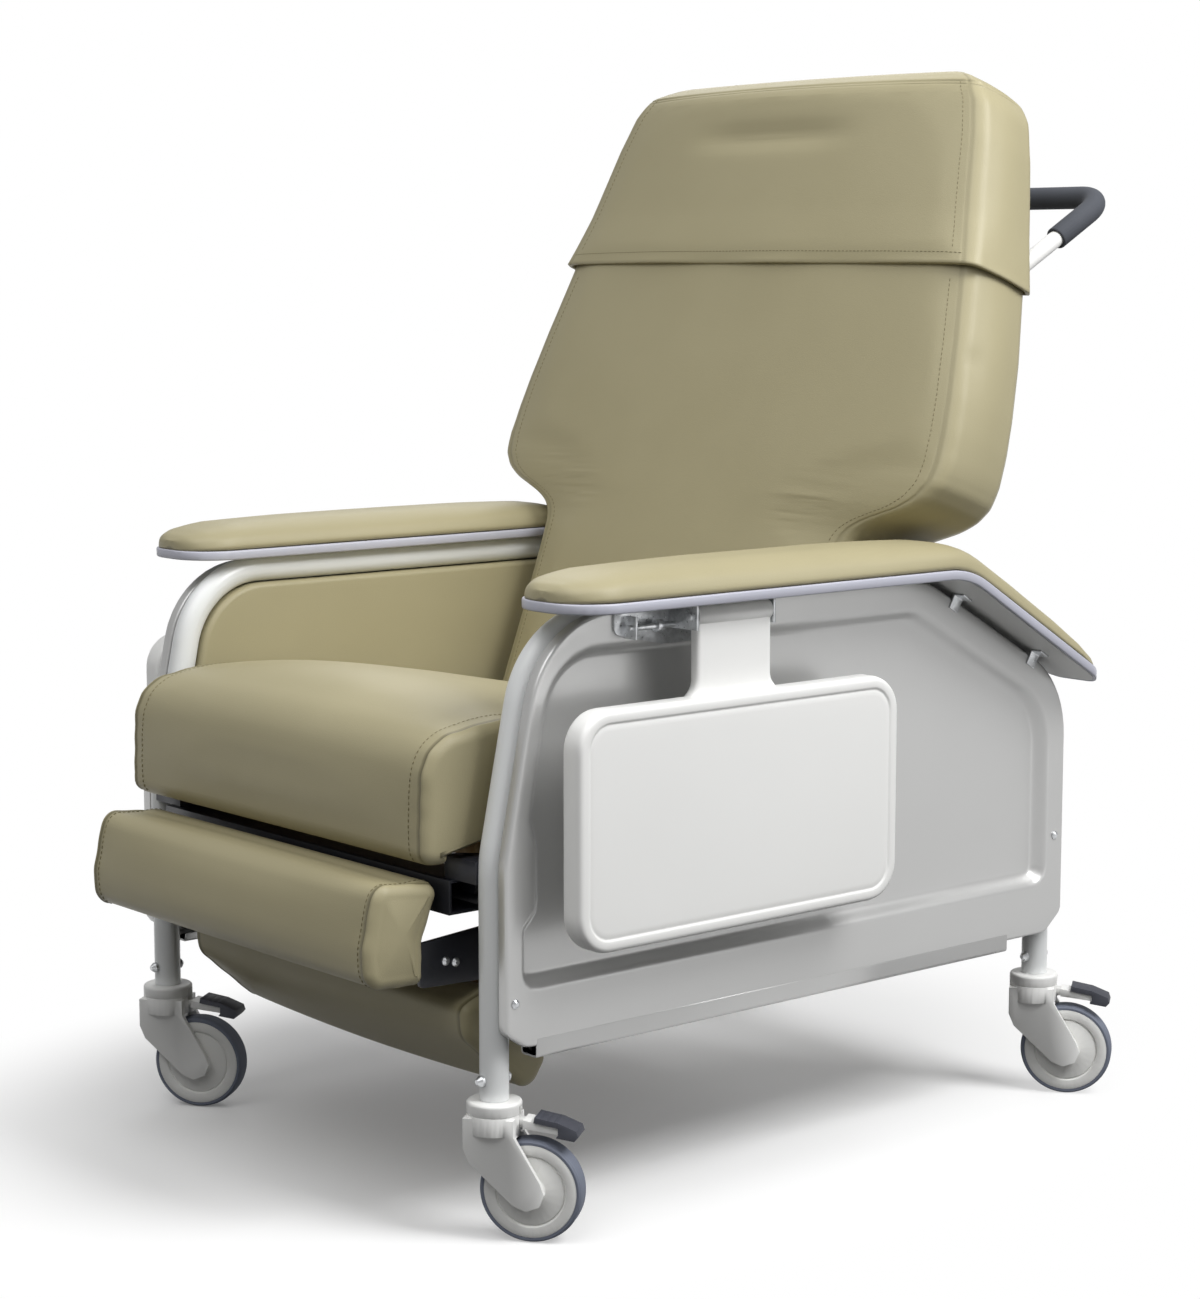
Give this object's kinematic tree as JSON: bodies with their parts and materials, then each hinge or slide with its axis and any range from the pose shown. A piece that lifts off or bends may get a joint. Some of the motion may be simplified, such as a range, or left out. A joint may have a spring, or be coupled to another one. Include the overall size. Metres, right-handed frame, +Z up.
{
  "type": "clinical recliner",
  "caption": "Reclining clinical chair on braked swivel casters, with padded arms, winged back, leg rest, fold-up side trays and a rear push handle.",
  "frame": {"origin": "on the floor under the middle of the outer box", "axes": "+Z up, the chair faces -Y, +X is the occupant's left"},
  "size_m": [0.776, 1.102, 1.1407],
  "materials": {
    "frame_silver": "satin",
    "panel_grey": "satin",
    "vinyl": "satin",
    "board_white": "painted",
    "arm_trim": "matte",
    "plywood": "matte",
    "zinc": "plated",
    "black_steel": "satin",
    "handle_white": "gloss",
    "tray_white": "satin",
    "grip_foam": "matte",
    "caster_white": "gloss",
    "grey_rubber": "matte"
  },
  "bodies": {
    "base": {"left_side_frame": "frame_silver", "right_side_frame": "frame_silver", "left_outer_panel": "panel_grey", "right_outer_panel": "panel_grey", "left_inner_panel": "vinyl", "right_inner_panel": "vinyl", "left_arm_board": "board_white", "right_arm_board": "board_white", "left_arm_trim": "arm_trim", "right_arm_trim": "arm_trim", "left_arm_pad": "vinyl", "right_arm_pad": "vinyl", "arm_brackets": "zinc", "tray_brackets": "zinc", "seat_frame": "black_steel", "slide_sleeves": "black_steel", "seat_deck": "plywood", "seat_cushion": "vinyl", "back_pivot_plates": "zinc", "caster_stems": "zinc", "leg_bolts": "zinc", "panel_screws": "zinc"},
    "back": {"back_uprights": "black_steel", "back_board": "plywood", "back_cushion": "vinyl", "head_cover": "vinyl", "push_handle": "handle_white", "push_grip": "grip_foam"},
    "legrest_carriage": {"legrest_carriage": "black_steel"},
    "legrest": {"legrest_frame": "black_steel", "legrest_bolster": "vinyl", "footrest_pad": "vinyl", "footrest_board": "plywood", "legrest_screws": "zinc"},
    "left_tray": {"left_tray": "tray_white"},
    "right_tray": {"right_tray": "tray_white"},
    "front_left_swivel": {"front_left_caster_housing": "caster_white"},
    "front_left_pedal": {"front_left_caster_pedal": "caster_white", "front_left_pedal_tread": "grey_rubber"},
    "front_left_wheel": {"front_left_caster_wheel": "caster_white", "front_left_caster_tyre": "grey_rubber"},
    "front_right_swivel": {"front_right_caster_housing": "caster_white"},
    "front_right_pedal": {"front_right_caster_pedal": "caster_white", "front_right_pedal_tread": "grey_rubber"},
    "front_right_wheel": {"front_right_caster_wheel": "caster_white", "front_right_caster_tyre": "grey_rubber"},
    "rear_left_swivel": {"rear_left_caster_housing": "caster_white"},
    "rear_left_pedal": {"rear_left_caster_pedal": "caster_white", "rear_left_pedal_tread": "grey_rubber"},
    "rear_left_wheel": {"rear_left_caster_wheel": "caster_white", "rear_left_caster_tyre": "grey_rubber"},
    "rear_right_swivel": {"rear_right_caster_housing": "caster_white"},
    "rear_right_pedal": {"rear_right_caster_pedal": "caster_white", "rear_right_pedal_tread": "grey_rubber"},
    "rear_right_wheel": {"rear_right_caster_wheel": "caster_white", "rear_right_caster_tyre": "grey_rubber"}
  },
  "joints": [
    {"name": "back_recline", "type": "hinge", "parent": "base", "child": "back", "pos_m": [0, 0.13581, 0.43141], "axis": [-1, 0, 0], "range_deg": [0, 42]},
    {"name": "legrest_slide", "type": "slide", "parent": "base", "child": "legrest_carriage", "axis": [0, -1, 0], "range_m": [0, 0.23]},
    {"name": "legrest_swing", "type": "hinge", "parent": "legrest_carriage", "child": "legrest", "pos_m": [0, -0.341, 0.3], "axis": [-1, 0, 0], "range_deg": [0, 50]},
    {"name": "left_tray_hinge", "type": "hinge", "parent": "base", "child": "left_tray", "pos_m": [0.362, -0.183, 0.595], "axis": [0, -1, 0], "range_deg": [0, 90]},
    {"name": "right_tray_hinge", "type": "hinge", "parent": "base", "child": "right_tray", "pos_m": [-0.362, -0.183, 0.595], "axis": [0, 1, 0], "range_deg": [0, 90]},
    {"name": "front_left_swivel", "type": "hinge", "parent": "base", "child": "front_left_swivel", "pos_m": [0.295, -0.4265, 0.1], "axis": [0, 0, 1], "continuous": true},
    {"name": "front_left_roll", "type": "hinge", "parent": "front_left_swivel", "child": "front_left_wheel", "pos_m": [0.32535, -0.40363, 0.0508], "axis": [-0.6018, 0.7986, 0], "continuous": true},
    {"name": "front_left_brake", "type": "hinge", "parent": "front_left_swivel", "child": "front_left_pedal", "pos_m": [0.31177, -0.41386, 0.115], "axis": [-0.6018, 0.7986, 0], "range_deg": [0, 10]},
    {"name": "front_right_swivel", "type": "hinge", "parent": "base", "child": "front_right_swivel", "pos_m": [-0.295, -0.4265, 0.1], "axis": [0, 0, 1], "continuous": true},
    {"name": "front_right_roll", "type": "hinge", "parent": "front_right_swivel", "child": "front_right_wheel", "pos_m": [-0.26465, -0.40363, 0.0508], "axis": [-0.6018, 0.7986, 0], "continuous": true},
    {"name": "front_right_brake", "type": "hinge", "parent": "front_right_swivel", "child": "front_right_pedal", "pos_m": [-0.27823, -0.41386, 0.115], "axis": [-0.6018, 0.7986, 0], "range_deg": [0, 10]},
    {"name": "rear_left_swivel", "type": "hinge", "parent": "base", "child": "rear_left_swivel", "pos_m": [0.295, 0.352, 0.1], "axis": [0, 0, 1], "continuous": true},
    {"name": "rear_left_roll", "type": "hinge", "parent": "rear_left_swivel", "child": "rear_left_wheel", "pos_m": [0.32535, 0.37487, 0.0508], "axis": [-0.6018, 0.7986, 0], "continuous": true},
    {"name": "rear_left_brake", "type": "hinge", "parent": "rear_left_swivel", "child": "rear_left_pedal", "pos_m": [0.31177, 0.36464, 0.115], "axis": [-0.6018, 0.7986, 0], "range_deg": [0, 10]},
    {"name": "rear_right_swivel", "type": "hinge", "parent": "base", "child": "rear_right_swivel", "pos_m": [-0.295, 0.352, 0.1], "axis": [0, 0, 1], "continuous": true},
    {"name": "rear_right_roll", "type": "hinge", "parent": "rear_right_swivel", "child": "rear_right_wheel", "pos_m": [-0.26465, 0.37487, 0.0508], "axis": [-0.6018, 0.7986, 0], "continuous": true},
    {"name": "rear_right_brake", "type": "hinge", "parent": "rear_right_swivel", "child": "rear_right_pedal", "pos_m": [-0.27823, 0.36464, 0.115], "axis": [-0.6018, 0.7986, 0], "range_deg": [0, 10]}
  ],
  "couplings": [
    {"joint": "legrest_slide", "follows": "back_recline", "m_per_rad": 0.31376},
    {"joint": "legrest_swing", "follows": "back_recline", "ratio": 1.1905}
  ]
}
